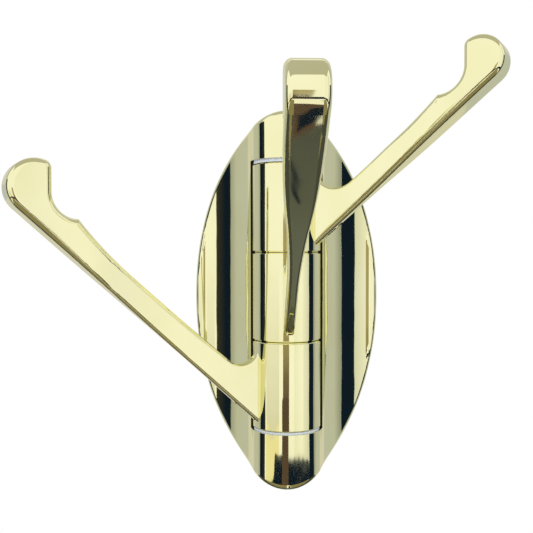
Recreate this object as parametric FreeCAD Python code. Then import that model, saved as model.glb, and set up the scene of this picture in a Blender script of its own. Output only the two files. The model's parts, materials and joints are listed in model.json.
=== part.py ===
import FreeCAD, Part
import math
import os

from FreeCAD import Vector

# Folding wall hook with three arms on one upright pin.
# Millimetres. The wall is the plane Y = 0, the front faces -Y and Z is up.

# Back plate
plate_tip = 15.0
plate_width = 56.0
side_pull = 0.65
tip_pull = 0.44
plate_wall = 2.2
shell_depth = 4.0
rim_height = 2.4
rim_swell = 0.6
crease_inset = 3.5
crease_height = 3.8
wing_radius = 28.0
axis_depth = 20.0
bulge_radius = 10.0
front_edge_round = 1.6

# Barrels and pin
stack_lift = 1.0
barrel_radius = 9.8
barrel_height = 24.8
barrel_gap = 0.2
barrel_bevel = 0.35
pin_radius = 3.0
pin_clearance = 0.08
pin_fit = 0.03
pin_end_recess = 1.2
pin_top_seat = 7.5
pin_end_room = 0.3
pin_bevel = 0.4
window_clearance = 0.5

# Washers
washer_radius = 9.4
upper_washer_thickness = 1.0
lower_washer_thickness = 0.6
washer_clearance = 0.12

# Arms, from the top barrel to the bottom one
arm_names = ("upper_arm", "middle_arm", "lower_arm")
arm_reach = (61.7, 69.7, 77.6)
arm_rise_deg = (39.6, 41.3, 41.9)
arm_bar_height = (8.4, 8.8, 9.1)
arm_rest_deg = (62.0, 3.3, -62.0)
knob_width = (10.0, 10.8, 10.8)
knob_radius = (6.0, 7.0, 7.0)
arm_root_lift = 1.4
arm_root_offset = 9.0
bar_thickness = 3.1
bar_taper_deg = 1.2
notch_drop = 7.7
notch_ramp = 13.0
knob_corner = 2.1
saddle_radius = 6.6
flare_length = 47.0
flare_entry = 20.0
knob_thickness = 9.5
bar_edge_round = 0.8
knob_edge_round = 1.8

# Concealed wall bracket and its set screw
bracket_width = 14.0
bracket_thickness = 2.0
bracket_tab = 6.6
bracket_bend = 1.2
bracket_drop = 3.0
bracket_foot_room = 3.0
screw_spacing = 50.0
screw_hole_radius = 2.25
set_screw_radius = 2.0
set_screw_depth = 4.6
set_screw_fit = 0.05
set_screw_recess = 1.5
set_screw_socket = 2.0
set_screw_socket_depth = 2.2
bracket_clearance = 1.0

# Cutting tools run past the faces they cut by this much
overshoot = 1.0

half_width = plate_width / 2
pitch = barrel_height + barrel_gap
half_height = 1.5 * pitch + plate_tip
stack_half = 1.5 * pitch - barrel_gap / 2
stack_top = stack_lift + stack_half
stack_bottom = stack_lift - stack_half
window_top = stack_top + upper_washer_thickness + washer_clearance
window_bottom = stack_bottom - lower_washer_thickness - washer_clearance
window_half = barrel_radius + window_clearance
axis = Vector(0, -axis_depth, 0)
up = Vector(0, 0, 1)


def line(a, b):
    return Part.LineSegment(a, b).toShape()


def arc(a, through, b):
    return Part.Arc(a, through, b).toShape()


def cylinder(radius, bottom, top, x=0.0, y=-axis_depth):
    return Part.makeCylinder(radius, top - bottom, Vector(x, y, bottom), up)


def block(x_half, y_front, y_back, z_low, z_high):
    corner = Vector(-x_half, y_front, z_low)
    return Part.makeBox(2 * x_half, y_back - y_front, z_high - z_low, corner)


# Pointed oval outline of the plate, drawn as four curves on the wall plane
def outline_face(half_width, half_height):
    edges = []
    for sx, sz in ((1, 1), (-1, 1), (-1, -1), (1, -1)):
        curve = Part.BezierCurve()
        curve.setPoles([
            Vector(sx * half_width, 0, 0),
            Vector(sx * half_width, 0, sz * half_height * side_pull),
            Vector(sx * half_width * tip_pull, 0, sz * half_height),
            Vector(0, 0, sz * half_height),
        ])
        edges.append(curve.toShape())
    return Part.Face(Part.Wire(Part.__sortEdges__(edges)))


# Level section of the plate: round bulge, hollow wings that leave it smoothly, a crease and a rounded rim
def section_face():
    crease = Vector(half_width - crease_inset, -crease_height, 0)
    rim = Vector(half_width, -rim_height, 0)
    foot = Vector(half_width, 0, 0)
    span = crease - axis
    centres = wing_radius + bulge_radius
    along = (centres ** 2 - wing_radius ** 2 + span.Length ** 2) / (2 * span.Length)
    aside = math.sqrt(centres ** 2 - along ** 2)
    span.normalize()
    centre = axis + span * along + Vector(span.y, -span.x, 0) * aside
    root = axis + (centre - axis) * (bulge_radius / centres)
    wing_mid = centre + ((root + crease) * 0.5 - centre).normalize() * wing_radius
    edge = rim - crease
    rim_mid = (crease + rim) * 0.5 + Vector(edge.y, -edge.x, 0).normalize() * rim_swell
    front = axis - Vector(0, bulge_radius, 0)
    right = [arc(root, wing_mid, crease), arc(crease, rim_mid, rim), line(rim, foot)]
    left = [shape.mirror(Vector(0, 0, 0), Vector(1, 0, 0)) for shape in right]
    bulge = arc(Vector(-root.x, root.y, 0), front, root)
    back = line(Vector(-half_width, 0, 0), foot)
    return Part.Face(Part.Wire(Part.__sortEdges__(right + left + [bulge, back])))


def straight_between(face, low, high):
    raised = face.copy()
    raised.translate(up * low)
    return raised.extrude(up * (high - low))


def back_plate():
    section = section_face()
    outline = outline_face(half_width, half_height)
    depth = axis_depth + bulge_radius
    shell = straight_between(section, -half_height, half_height)
    shell = shell.common(outline.extrude(Vector(0, -depth, 0)))
    fronts = []
    for edge in shell.Edges:
        box = edge.BoundBox
        if box.YMax < -0.01 and box.ZLength > 0.5 and box.XLength > 0.5:
            fronts.append(edge)
    shell = shell.makeFillet(front_edge_round, fronts)
    inset = outline_face(half_width - plate_wall, half_height - plate_wall)
    pocket = straight_between(section, window_bottom, window_top)
    pocket.translate(Vector(0, shell_depth, 0))
    pocket = pocket.common(inset.extrude(Vector(0, -depth, 0)))
    hollow_front = barrel_radius - axis_depth + bracket_clearance
    foot_room = bracket_width / 2 + bracket_clearance
    foot_bottom = window_bottom - bracket_drop - bracket_foot_room
    foot = block(foot_room, hollow_front, overshoot, foot_bottom, window_bottom)
    window = block(window_half, -depth - overshoot, overshoot, window_bottom, window_top)
    below = -half_height - overshoot
    pin_hole = cylinder(pin_radius + pin_fit, below, window_top + pin_top_seat)
    screw_hole = cylinder(set_screw_radius + set_screw_fit, below, window_bottom, 0, -set_screw_depth)
    for cut in (pocket, foot, window, pin_hole, screw_hole):
        shell = shell.cut(cut)
    return shell


# Side profile of an arm: outward distance from the pin and height over the barrel's foot
def arm_profile(reach, rise, bar_height, width, radius):
    slope = math.tan(rise)
    top_rise = rise - math.radians(bar_taper_deg)
    root_u = arm_root_offset
    ramp_u = reach - width - saddle_radius - notch_ramp
    inside_u = (pin_radius + barrel_radius) / 2

    def low(u):
        return arm_root_lift + (u - root_u) * slope

    def high(u):
        return low(ramp_u) + bar_height + (u - ramp_u) * math.tan(top_rise)

    def at(u, v):
        return Vector(0, -u, v)

    # One arc rounds the knob from the underside to a tighter corner over the saddle
    knob_u = reach - radius
    knob_v = low(knob_u + radius * math.sin(rise)) + radius * math.cos(rise)
    knob_start = at(knob_u + radius * math.sin(rise), knob_v - radius * math.cos(rise))
    inner_u = reach - width
    corner_u = inner_u + knob_corner
    corner_v = knob_v + math.sqrt((radius - knob_corner) ** 2 - (knob_u - corner_u) ** 2)
    knob_centre = at(knob_u, knob_v)
    corner_centre = at(corner_u, corner_v)
    out = (corner_centre - knob_centre).normalize()
    knob_end = knob_centre + out * radius
    corner_mid = corner_centre + (out + Vector(0, 1, 0)).normalize() * knob_corner
    corner_end = at(inner_u, corner_v)
    saddle_v = knob_v - notch_drop + saddle_radius
    saddle_u = inner_u - saddle_radius
    saddle_top = at(inner_u, saddle_v)
    saddle_mid = at(saddle_u + saddle_radius * math.sqrt(0.5), saddle_v - saddle_radius * math.sqrt(0.5))
    notch = at(saddle_u, knob_v - notch_drop)
    # The ramp is an arc that leaves the bar and climbs to the notch
    ramp = at(ramp_u, high(ramp_u))
    chord = notch - ramp
    bend = math.atan2(chord.z, notch_ramp) - top_rise
    sag = chord.Length / 2 * math.tan(bend / 2)
    ramp_mid = (ramp + notch) * 0.5 + Vector(0, -chord.z, chord.y) * (sag / chord.Length)
    # The crotch is an arc that leaves the bar and ends upright at the barrel's upper edge
    crotch_v = high(root_u)
    root_v = barrel_height - barrel_bevel
    swing = math.pi / 2 + top_rise
    crotch_radius = (root_v - crotch_v) / math.tan(swing / 2)
    centre_u = root_u + crotch_radius
    crotch_end = at(centre_u + crotch_radius * math.sin(top_rise), root_v - crotch_radius * math.cos(top_rise))
    half_turn = math.pi / 4 - top_rise / 2
    crotch_mid = at(centre_u - crotch_radius * math.sin(half_turn),
                    root_v - crotch_radius * math.cos(half_turn))
    root_top = at(root_u, root_v)
    return [
        line(at(inside_u, arm_root_lift), at(root_u, arm_root_lift)),
        line(at(root_u, arm_root_lift), knob_start),
        arc(knob_start, at(reach, knob_v), knob_end),
        arc(knob_end, corner_mid, corner_end),
        line(corner_end, saddle_top),
        arc(saddle_top, saddle_mid, notch),
        arc(notch, ramp_mid, ramp),
        line(ramp, crotch_end),
        arc(crotch_end, crotch_mid, root_top),
        line(root_top, at(inside_u, root_v)),
        line(at(inside_u, root_v), at(inside_u, arm_root_lift)),
    ]


# Plan of an arm: a thin bar that swells through two tangent arcs to the parallel sides of the knob
def arm_plan(reach, width):
    bar = bar_thickness / 2
    knob = knob_thickness / 2
    flare_u = reach - flare_length
    knob_u = reach - width / 2
    end_u = reach + overshoot
    run = knob_u - flare_u
    lean = 2 * math.atan((knob - bar) / run)
    entry_radius = flare_entry / math.sin(lean)
    swell_radius = (run - flare_entry) / math.sin(lean)

    def entry(angle):
        x = bar + entry_radius * (1 - math.cos(angle))
        return Vector(x, -flare_u - entry_radius * math.sin(angle), 0)

    def swell(angle):
        x = knob - swell_radius * (1 - math.cos(angle))
        return Vector(x, -knob_u + swell_radius * math.sin(angle), 0)

    right = [
        line(Vector(0, 0, 0), Vector(bar, 0, 0)),
        line(Vector(bar, 0, 0), entry(0)),
        arc(entry(0), entry(lean / 2), entry(lean)),
        arc(entry(lean), swell(lean / 2), swell(0)),
        line(swell(0), Vector(knob, -end_u, 0)),
        line(Vector(knob, -end_u, 0), Vector(0, -end_u, 0)),
    ]
    left = [edge.mirror(Vector(0, 0, 0), Vector(1, 0, 0)) for edge in right]
    return Part.Face(Part.Wire(Part.__sortEdges__(right + left)))


# Arm edges are rounded a little on the bar and more and more towards the knob
def rounded_bar(bar, reach, width):
    flare_u = reach - flare_length
    notch_u = reach - width - saddle_radius
    seams = (flare_u, flare_u + flare_entry, reach - width / 2)

    def edge_round(point):
        share = min(1, max(0, (-point.y - flare_u) / (notch_u - flare_u)))
        return bar_edge_round + (knob_edge_round - bar_edge_round) * share

    radii = []
    for number, edge in enumerate(bar.Edges, 1):
        box = edge.BoundBox
        across = box.XMin * box.XMax <= 0
        in_barrel = box.YMax > -arm_root_offset + 0.01
        on_seam = box.YLength < 0.01 and min(abs(box.YMin + u) for u in seams) < 0.01
        if not (across or in_barrel or on_seam):
            first = edge.valueAt(edge.FirstParameter)
            last = edge.valueAt(edge.LastParameter)
            radii.append((number, edge_round(first), edge_round(last)))
    plain = drawing.addObject("Part::Feature", "plain_bar")
    plain.Shape = bar
    fillet = drawing.addObject("Part::Fillet", "rounded_bar")
    fillet.Base = plain
    fillet.Edges = radii
    drawing.recompute()
    return fillet.Shape.copy()


def arm(index):
    reach = arm_reach[index]
    rise = math.radians(arm_rise_deg[index])
    width = knob_width[index]
    outline = arm_profile(reach, rise, arm_bar_height[index], width, knob_radius[index])
    profile = Part.Face(Part.Wire(outline))
    profile.translate(Vector(-knob_thickness, 0, 0))
    bar = profile.extrude(Vector(2 * knob_thickness, 0, 0))
    bar = bar.common(arm_plan(reach, width).extrude(up * 2 * reach))
    bar = rounded_bar(bar, reach, width)
    bar.translate(axis)
    barrel = cylinder(barrel_radius, 0, barrel_height)
    rims = [edge for edge in barrel.Edges if edge.Closed]
    barrel = barrel.makeChamfer(barrel_bevel, rims)
    bore = cylinder(pin_radius + pin_clearance, -overshoot, barrel_height + overshoot)
    shape = barrel.fuse(bar).cut(bore)
    shape.translate(up * (stack_top - barrel_height - index * pitch))
    shape.rotate(axis, up, arm_rest_deg[index])
    return shape


def hinge_pin():
    pin = cylinder(pin_radius, -half_height + pin_end_recess, window_top + pin_top_seat - pin_end_room)
    rims = [edge for edge in pin.Edges if edge.Closed]
    return pin.makeChamfer(pin_bevel, rims)


def washer(bottom, thickness):
    ring = cylinder(washer_radius, bottom, bottom + thickness)
    bore = cylinder(pin_radius + pin_clearance, bottom - overshoot, bottom + thickness + overshoot)
    return ring.cut(bore)


# Steel strip behind the barrels, folded forward at both ends
def wall_bracket():
    side = bracket_width / 2
    foot = window_bottom - bracket_drop
    strip = block(side, -bracket_tab, 0, foot, window_top)
    recess = block(side + overshoot, -bracket_tab - overshoot, -bracket_thickness,
                   foot + bracket_thickness, window_top - bracket_thickness)
    strip = strip.cut(recess)
    for inset, radius in ((0, bracket_bend + bracket_thickness), (bracket_thickness, bracket_bend)):
        bends = []
        for edge in strip.Edges:
            if edge.BoundBox.XLength > side and abs(edge.CenterOfMass.y + inset) < 0.01:
                bends.append(edge)
        strip = strip.makeFillet(radius, bends)
    for z in (-screw_spacing / 2, screw_spacing / 2):
        hole = Part.makeCylinder(screw_hole_radius, 2 * bracket_thickness,
                                 Vector(0, bracket_thickness / 2, z), Vector(0, -1, 0))
        strip = strip.cut(hole)
    return strip


# Grub screw that clamps the plate on the bracket's lower fold
def set_screw():
    low = -half_height + set_screw_recess
    screw = cylinder(set_screw_radius, low, window_bottom - bracket_drop, 0, -set_screw_depth)
    corners = []
    for i in range(7):
        turn = math.radians(60 * i)
        spread = set_screw_socket / math.sqrt(3)
        corners.append(Vector(spread * math.cos(turn), spread * math.sin(turn) - set_screw_depth, low))
    socket = Part.Face(Part.makePolygon(corners)).extrude(up * set_screw_socket_depth)
    return screw.cut(socket)


drawing = FreeCAD.newDocument("folding_hook")
pieces = {
    "back_plate": back_plate(),
    "hinge_pin": hinge_pin(),
    "upper_washer": washer(window_top - upper_washer_thickness, upper_washer_thickness),
    "lower_washer": washer(window_bottom, lower_washer_thickness),
    "wall_bracket": wall_bracket(),
    "set_screw": set_screw(),
}
for i, name in enumerate(arm_names):
    pieces[name] = arm(i)

os.makedirs("parts", exist_ok=True)
for name, shape in pieces.items():
    shape.exportStep("parts/" + name + ".step")
    print(name, shape.isValid(), len(shape.Solids), round(shape.Volume, 1))
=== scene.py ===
import json
import math

import bpy
from mathutils import Euler, Matrix, Vector


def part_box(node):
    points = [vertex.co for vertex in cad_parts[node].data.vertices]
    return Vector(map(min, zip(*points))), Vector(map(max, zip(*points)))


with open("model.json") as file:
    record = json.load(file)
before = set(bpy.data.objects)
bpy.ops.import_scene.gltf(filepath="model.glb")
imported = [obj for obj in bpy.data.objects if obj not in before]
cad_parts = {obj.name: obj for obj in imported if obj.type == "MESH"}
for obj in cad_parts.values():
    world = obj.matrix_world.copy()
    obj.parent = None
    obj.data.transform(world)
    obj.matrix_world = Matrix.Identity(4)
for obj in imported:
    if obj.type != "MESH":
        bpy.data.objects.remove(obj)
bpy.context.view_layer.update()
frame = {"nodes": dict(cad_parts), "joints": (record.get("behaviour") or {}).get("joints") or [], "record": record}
scene = bpy.context.scene
scene.view_settings.view_transform = "Standard"


# Sizes and places are in metres, bearings in degrees, and colours are linear red, green and blue

TONE_STOPS = (0.3, 0.7)
GOLD_TONES = ((0.91, 0.875, 0.51), (0.94, 0.91, 0.57))
NYLON_TONES = ((0.62, 0.67, 0.74), (0.70, 0.75, 0.81))
STEEL_TONES = ((0.58, 0.60, 0.62), (0.70, 0.71, 0.72))
STEEL_STRETCH = (4, 4, 0.15)
# Painted shade in crevices: its colour, how far the occlusion test reaches, and the occlusion values where it is
# full and where it stops
PAINTED_SHADE_COLOUR = (0.05, 0.04, 0.02)
PAINTED_SHADE_REACH = 0.0016
PAINTED_SHADE_FULL = 0.15
PAINTED_SHADE_NONE = 0.6
OCCLUSION_SAMPLES = 8

AXIS_Y = frame["joints"][0]["pos_m"][1]
AMBIENT_STRENGTH = 0.7
BACKDROP_STRENGTH = 1.0

NAVY = (0.005, 0.012, 0.028)
SOOT = (0.035, 0.034, 0.026)
GREY = (0.52, 0.545, 0.54)
DIM = (0.29, 0.305, 0.3)
PALE = (0.66, 0.65, 0.57)
BROWN = (0.4, 0.34, 0.19)
UMBER = (0.10, 0.065, 0.05)
TAN = (0.26, 0.225, 0.125)
OLIVE = (0.062, 0.067, 0.063)
LIGHT_OLIVE = tuple(2.0 * channel for channel in OLIVE)
CREAM = (0.95, 0.94, 0.9)
BRIGHT = (1.0, 0.995, 1.0)
OFF_WHITE = (0.9, 0.905, 0.88)
SILVER = (0.69, 0.71, 0.7)
SAND = (0.74, 0.73, 0.67)
STRAW = (0.9, 0.83, 0.54)
STONE = (0.5, 0.49, 0.44)
# Painted shade: colour of the card in the gap behind the barrels
PAINTED_GAP_SHADE = (0.012, 0.012, 0.01)

FLAG_DISTANCE = 0.5
FLAG_HEIGHTS = (-0.26, 0.17)
FLAG_FADE = 0.6
BACK_DISTANCE = 0.6
BACK_HEIGHTS = (-0.7, 0.7)
BROWN_DISTANCE = 0.67
BROWN_HEIGHTS = (-0.16, 0.05)
BROWN_FADE = 0.4
BROWN_LOW_DISTANCE = 0.66
BROWN_LOW_HEIGHTS = (-0.29, -0.155)
SOFT_DISTANCE = 1.2
SOFT_HEIGHTS = (-1.0, 1.0)
SOFT_LOW_HEIGHTS = (-0.3, 0.0)
WARM_LOW_HEIGHTS = (-0.7, -0.3)
LOW_LEFT_BEARINGS = (-72, -25)
SKY_HEIGHT = 0.7

TABLE_HEIGHT = -0.292
SHEET_STEP = 0.001
TABLE_SPLIT = -0.06
EDGE_NEAR = 0.68
EDGE_FAR = 0.89
EDGE_FAR_LEFT = [(-85, 0.78), (-60, 0.78), (-45, 0.8), (-38, 0.92), (-17, 0.92)]
CREAM_SHEET = [(0.005, -0.085), (0.06, -0.098), (0.1, -0.62), (0.035, -0.62)]
UMBER_PATCH = [(0.02, -0.085), (0.022, -0.1), (0.05, -0.45), (0.075, -0.36), (0.05, -0.14), (0.037, -0.09)]
NAVY_PATCH = [(0.028, -0.09), (0.045, -0.25), (0.07, -0.34), (0.045, -0.1)]
NAVY_STREAK = [(0.021, -0.077), (0.024, -0.068), (0.028, -0.044), (0.025, -0.044)]

# Width and depth of the card that paints the shade behind the barrels
WINDOW_HALF_WIDTH = 0.0135
PAINTED_GAP_SHADE_Y = -0.0085
FLOOR_TONES = ((0.86, 0.86, 0.85), (0.9, 0.9, 0.89))
FLOOR_ROUGHNESS = 0.8
FLOOR_RADIUS = 0.55
FLOOR_HEIGHT = -0.3
FLOOR_SIDES = 72

SOFTBOX_SIZE = (0.5, 0.6)
SENSOR_MM = 36
LENS_MM = 52.22
CLIP_START = 0.01
CAMERA_PLACE = (-0.0016, -0.2421, 0.015)
CAMERA_TURN = (-1.45, 0.08, 1.07)


# Materials

def new_material(name):
    material = bpy.data.materials.new(name)
    material.use_nodes = True
    nodes = material.node_tree.nodes
    nodes.clear()
    output = nodes.new("ShaderNodeOutputMaterial")
    shader = nodes.new("ShaderNodeBsdfPrincipled")
    material.node_tree.links.new(shader.outputs["BSDF"], output.inputs["Surface"])
    return material, shader


def noise(material, scale, detail, stretch=(1, 1, 1)):
    tree = material.node_tree
    place = tree.nodes.new("ShaderNodeTexCoord")
    mapping = tree.nodes.new("ShaderNodeMapping")
    mapping.inputs["Scale"].default_value = stretch
    texture = tree.nodes.new("ShaderNodeTexNoise")
    texture.inputs["Scale"].default_value = scale
    texture.inputs["Detail"].default_value = detail
    tree.links.new(place.outputs["Object"], mapping.inputs["Vector"])
    tree.links.new(mapping.outputs["Vector"], texture.inputs["Vector"])
    return texture.outputs["Fac"]


def ramp(material, factor, positions, colours):
    tree = material.node_tree
    node = tree.nodes.new("ShaderNodeValToRGB")
    for element, position, colour in zip(node.color_ramp.elements, positions, colours):
        element.position = position
        element.color = (*colour, 1)
    tree.links.new(factor, node.inputs["Fac"])
    return node.outputs["Color"]


def spread(material, factor, low, high):
    tree = material.node_tree
    node = tree.nodes.new("ShaderNodeMapRange")
    node.inputs["To Min"].default_value = low
    node.inputs["To Max"].default_value = high
    tree.links.new(factor, node.inputs["Value"])
    return node.outputs["Result"]


def bump(material, shader, height, strength, distance):
    tree = material.node_tree
    node = tree.nodes.new("ShaderNodeBump")
    node.inputs["Strength"].default_value = strength
    node.inputs["Distance"].default_value = distance
    tree.links.new(height, node.inputs["Height"])
    tree.links.new(node.outputs["Normal"], shader.inputs["Normal"])


# Painted shade: the colour darkens towards near-black where two faces come close together, from an ambient
# occlusion test
def painted_crevice_shade(material, unshaded):
    tree = material.node_tree
    occlusion = tree.nodes.new("ShaderNodeAmbientOcclusion")
    occlusion.samples = OCCLUSION_SAMPLES
    occlusion.inputs["Distance"].default_value = PAINTED_SHADE_REACH
    shade_amount = tree.nodes.new("ShaderNodeMapRange")
    shade_amount.inputs["From Min"].default_value = PAINTED_SHADE_FULL
    shade_amount.inputs["From Max"].default_value = PAINTED_SHADE_NONE
    mix = tree.nodes.new("ShaderNodeMix")
    mix.data_type = "RGBA"
    mix.inputs[6].default_value = (*PAINTED_SHADE_COLOUR, 1)
    tree.links.new(occlusion.outputs["AO"], shade_amount.inputs["Value"])
    tree.links.new(shade_amount.outputs["Result"], mix.inputs[0])
    tree.links.new(unshaded, mix.inputs[7])
    return mix.outputs[2]


# Polished gold plate over a casting: pale champagne, faint clouding, slightly wavy from buffing
def gold_material():
    material, shader = new_material("polished_gold")
    links = material.node_tree.links
    shader.inputs["Metallic"].default_value = 1.0
    cloud = noise(material, scale=60, detail=3)
    unshaded = ramp(material, cloud, TONE_STOPS, GOLD_TONES)
    # Painted shade darkens the gold in crevices and joints
    links.new(painted_crevice_shade(material, unshaded), shader.inputs["Base Color"])
    polish = noise(material, scale=400, detail=4)
    links.new(spread(material, polish, 0.02, 0.07), shader.inputs["Roughness"])
    waves = noise(material, scale=90, detail=1)
    bump(material, shader, waves, strength=0.2, distance=0.0004)
    return material


# Pale nylon with a fine moulded grain
def nylon_material():
    material, shader = new_material("white_nylon")
    links = material.node_tree.links
    grain = noise(material, scale=900, detail=4)
    links.new(ramp(material, grain, TONE_STOPS, NYLON_TONES), shader.inputs["Base Color"])
    links.new(spread(material, grain, 0.35, 0.5), shader.inputs["Roughness"])
    bump(material, shader, grain, strength=0.1, distance=0.0001)
    return material


# Zinc-plated steel, streaked upwards
def steel_material():
    material, shader = new_material("zinc_steel")
    links = material.node_tree.links
    shader.inputs["Metallic"].default_value = 1.0
    streaks = noise(material, scale=300, detail=4, stretch=STEEL_STRETCH)
    links.new(ramp(material, streaks, TONE_STOPS, STEEL_TONES), shader.inputs["Base Color"])
    links.new(spread(material, streaks, 0.25, 0.42), shader.inputs["Roughness"])
    bump(material, shader, streaks, strength=0.08, distance=0.0001)
    return material


finishes = {"gold": gold_material(), "nylon": nylon_material(), "steel": steel_material()}
for entry in frame["record"]["subparts"]:
    node = frame["nodes"][entry["node"]]
    node.data.materials.clear()
    node.data.materials.append(finishes[entry["material_slot"]])


# Studio: white world, a pale floor below and cards that only the polished metal mirrors

# The camera and mirrors see plain white; what lights matt surfaces is a little dimmer
def world_light():
    world = bpy.data.worlds.new("studio")
    scene.world = world
    world.use_nodes = True
    nodes = world.node_tree.nodes
    links = world.node_tree.links
    nodes.clear()
    output = nodes.new("ShaderNodeOutputWorld")
    path = nodes.new("ShaderNodeLightPath")
    seen = nodes.new("ShaderNodeMath")
    seen.operation = "MAXIMUM"
    clear = nodes.new("ShaderNodeMath")
    clear.operation = "MAXIMUM"
    links.new(path.outputs["Is Camera Ray"], seen.inputs[0])
    links.new(path.outputs["Is Glossy Ray"], seen.inputs[1])
    links.new(seen.outputs["Value"], clear.inputs[0])
    links.new(path.outputs["Is Transmission Ray"], clear.inputs[1])
    soft = nodes.new("ShaderNodeBackground")
    soft.inputs["Strength"].default_value = AMBIENT_STRENGTH
    white = nodes.new("ShaderNodeBackground")
    white.inputs["Strength"].default_value = BACKDROP_STRENGTH
    for background in (soft, white):
        background.inputs["Color"].default_value = (1, 1, 1, 1)
    mix = nodes.new("ShaderNodeMixShader")
    links.new(clear.outputs["Value"], mix.inputs["Fac"])
    links.new(soft.outputs["Background"], mix.inputs[1])
    links.new(white.outputs["Background"], mix.inputs[2])
    links.new(mix.outputs["Shader"], output.inputs["Surface"])


def plane(name, corners, material):
    mesh = bpy.data.meshes.new(name)
    mesh.from_pydata(corners, [], [range(len(corners))])
    mesh.materials.append(material)
    obj = bpy.data.objects.new(name, mesh)
    scene.collection.objects.link(obj)
    return obj


# One colour, or an edge colour that runs into it along an axis of the card's own box
def glow(name, colour, edge=None, along="Y", fade=0.35):
    material = bpy.data.materials.new(name)
    material.use_nodes = True
    nodes = material.node_tree.nodes
    links = material.node_tree.links
    nodes.clear()
    output = nodes.new("ShaderNodeOutputMaterial")
    emission = nodes.new("ShaderNodeEmission")
    emission.inputs["Color"].default_value = (*colour, 1)
    links.new(emission.outputs["Emission"], output.inputs["Surface"])
    if edge:
        place = nodes.new("ShaderNodeTexCoord")
        axes = nodes.new("ShaderNodeSeparateXYZ")
        links.new(place.outputs["Generated"], axes.inputs["Vector"])
        shades = ramp(material, axes.outputs[along], (0.0, fade), (edge, colour))
        links.new(shades, emission.inputs["Color"])
    return material


def only_mirrored(obj):
    obj.visible_camera = False
    obj.visible_diffuse = False
    obj.visible_shadow = False


# Places round the pin axis are given by bearing: straight out of the wall is 0 and right is positive
def around(bearing, distance):
    turn = math.radians(bearing)
    return distance * math.sin(turn), AXIS_Y - distance * math.cos(turn)


def upright_card(name, bearings, distance, heights, colour, **shading):
    first, last = (around(bearing, distance) for bearing in bearings)
    low, high = heights
    corners = [(*first, low), (*last, low), (*last, high), (*first, high)]
    only_mirrored(plane(name, corners, glow(name, colour, **shading)))


def flat_card(name, outline, height, colour, **shading):
    corners = [(x, y, height) for x, y in outline]
    only_mirrored(plane(name, corners, glow(name, colour, **shading)))


def level_card(name, x_range, y_range, height, colour, **shading):
    left, right = x_range
    front, back = y_range
    outline = [(left, front), (right, front), (right, back), (left, back)]
    flat_card(name, outline, height, colour, **shading)


def sheet_height(layer):
    return TABLE_HEIGHT + layer * SHEET_STEP


# Dark flags at both sides, grey and pale cards behind, a brown shape and soft light tones in front
def room_cards():
    upright_card("flag_left", (-76, -98), FLAG_DISTANCE, FLAG_HEIGHTS, NAVY, edge=SOOT, fade=FLAG_FADE)
    upright_card("flag_right", (79, 100), FLAG_DISTANCE, FLAG_HEIGHTS, NAVY)
    upright_card("grey_back_left", (-94, -137), BACK_DISTANCE, BACK_HEIGHTS, GREY, edge=DIM)
    upright_card("pale_back_left", (-137, -180), BACK_DISTANCE, BACK_HEIGHTS, PALE)
    upright_card("grey_back_right", (100, 140), BACK_DISTANCE, BACK_HEIGHTS, GREY, edge=DIM)
    upright_card("pale_back_right", (140, 180), BACK_DISTANCE, BACK_HEIGHTS, PALE)
    upright_card("brown_front", (-12, 8), BROWN_DISTANCE, BROWN_HEIGHTS, BROWN,
                 edge=UMBER, along="Z", fade=BROWN_FADE)
    upright_card("brown_front_low", (-15, 8), BROWN_LOW_DISTANCE, BROWN_LOW_HEIGHTS, UMBER)
    upright_card("soft_right", (25, 50), SOFT_DISTANCE, SOFT_HEIGHTS, BRIGHT, edge=OFF_WHITE, fade=1.0)
    upright_card("soft_far_right", (50, 79), SOFT_DISTANCE, SOFT_HEIGHTS, SILVER, edge=BRIGHT, fade=1.0)
    upright_card("soft_low_left", LOW_LEFT_BEARINGS, SOFT_DISTANCE, SOFT_LOW_HEIGHTS, BRIGHT,
                 edge=SAND, along="Z", fade=1.0)
    upright_card("warm_low_left", LOW_LEFT_BEARINGS, SOFT_DISTANCE, WARM_LOW_HEIGHTS, STRAW)
    level_card("sky_above", (-0.6, 0.6), (-0.6, 0.4), SKY_HEIGHT, STONE)


# A table below with a dark edge, and sheets on it that the undersides of the arms mirror
def table_cards():
    level_card("table", (-0.45, 0.45), (-0.6, TABLE_SPLIT), TABLE_HEIGHT, TAN)
    level_card("table_back", (-0.8, 0.8), (TABLE_SPLIT, 0.25), TABLE_HEIGHT, OLIVE)
    edge = EDGE_FAR_LEFT + [(bearing, EDGE_FAR) for bearing in range(10, 86, 15)]
    edge += [(bearing, EDGE_NEAR) for bearing in range(85, -86, -17)]
    outline = [around(bearing, distance) for bearing, distance in edge]
    flat_card("table_edge", outline, sheet_height(1), NAVY)
    level_card("table_under", (-0.06, 0.06), (-0.12, 0.2), sheet_height(2), LIGHT_OLIVE, edge=OLIVE)
    flat_card("cream_sheet", CREAM_SHEET, sheet_height(3), CREAM)
    flat_card("umber_patch", UMBER_PATCH, sheet_height(4), UMBER)
    flat_card("navy_patch", NAVY_PATCH, sheet_height(5), NAVY)
    flat_card("navy_streak", NAVY_STREAK, sheet_height(4), NAVY)
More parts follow.
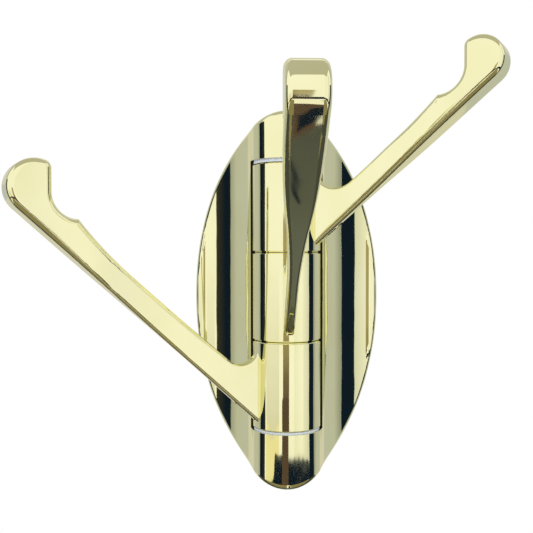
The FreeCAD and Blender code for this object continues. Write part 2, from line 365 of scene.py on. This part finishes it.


# A dark card behind the barrels that paints the shade in the gap to the wall; it shows from the front and lets
# rays through from behind
def painted_gap_shade():
    material = glow("painted_shade_behind_barrels", PAINTED_GAP_SHADE)
    nodes = material.node_tree.nodes
    links = material.node_tree.links
    side = nodes.new("ShaderNodeNewGeometry")
    through = nodes.new("ShaderNodeBsdfTransparent")
    choose = nodes.new("ShaderNodeMixShader")
    links.new(side.outputs["Backfacing"], choose.inputs["Fac"])
    links.new(nodes["Emission"].outputs["Emission"], choose.inputs[1])
    links.new(through.outputs["BSDF"], choose.inputs[2])
    links.new(choose.outputs["Shader"], nodes["Material Output"].inputs["Surface"])
    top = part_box("upper_washer")[1][2]
    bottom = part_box("lower_washer")[0][2]
    window = ((-1, bottom), (1, bottom), (1, top), (-1, top))
    corners = [(sign * WINDOW_HALF_WIDTH, PAINTED_GAP_SHADE_Y, height) for sign, height in window]
    plane("painted_shade_behind_barrels", corners, material)


def pale_floor():
    material, shader = new_material("pale_floor")
    shader.inputs["Roughness"].default_value = FLOOR_ROUGHNESS
    specks = noise(material, scale=30, detail=3)
    tones = ramp(material, specks, TONE_STOPS, FLOOR_TONES)
    material.node_tree.links.new(tones, shader.inputs["Base Color"])
    turns = [math.tau * step / FLOOR_SIDES for step in range(FLOOR_SIDES)]
    rim = [(FLOOR_RADIUS * math.cos(turn), FLOOR_RADIUS * math.sin(turn), FLOOR_HEIGHT) for turn in turns]
    plane("floor", rim, material)


# A soft light that faces the origin and isn't mirrored
def softbox(name, place, power):
    data = bpy.data.lights.new(name, "AREA")
    data.shape = "RECTANGLE"
    data.size, data.size_y = SOFTBOX_SIZE
    data.energy = power
    obj = bpy.data.objects.new(name, data)
    obj.location = place
    obj.rotation_euler = (-Vector(place)).to_track_quat("-Z", "Y").to_euler()
    obj.visible_glossy = False
    scene.collection.objects.link(obj)


# Straight on and a little above the middle, as in the photo
def place_camera():
    data = bpy.data.cameras.new("camera")
    data.sensor_width = SENSOR_MM
    data.lens = LENS_MM
    data.clip_start = CLIP_START
    camera = bpy.data.objects.new("camera", data)
    turn = Euler([math.radians(angle) for angle in CAMERA_TURN], "XYZ").to_matrix()
    facing = turn @ Matrix.Rotation(math.pi / 2, 3, "X")
    camera.matrix_world = Matrix.Translation(CAMERA_PLACE) @ facing.to_4x4()
    scene.collection.objects.link(camera)
    scene.camera = camera


world_light()
room_cards()
table_cards()
painted_gap_shade()
pale_floor()
softbox("key", (-0.45, -0.55, 0.5), power=3.0)
softbox("fill", (0.6, -0.5, 0.25), power=2.0)
place_camera()
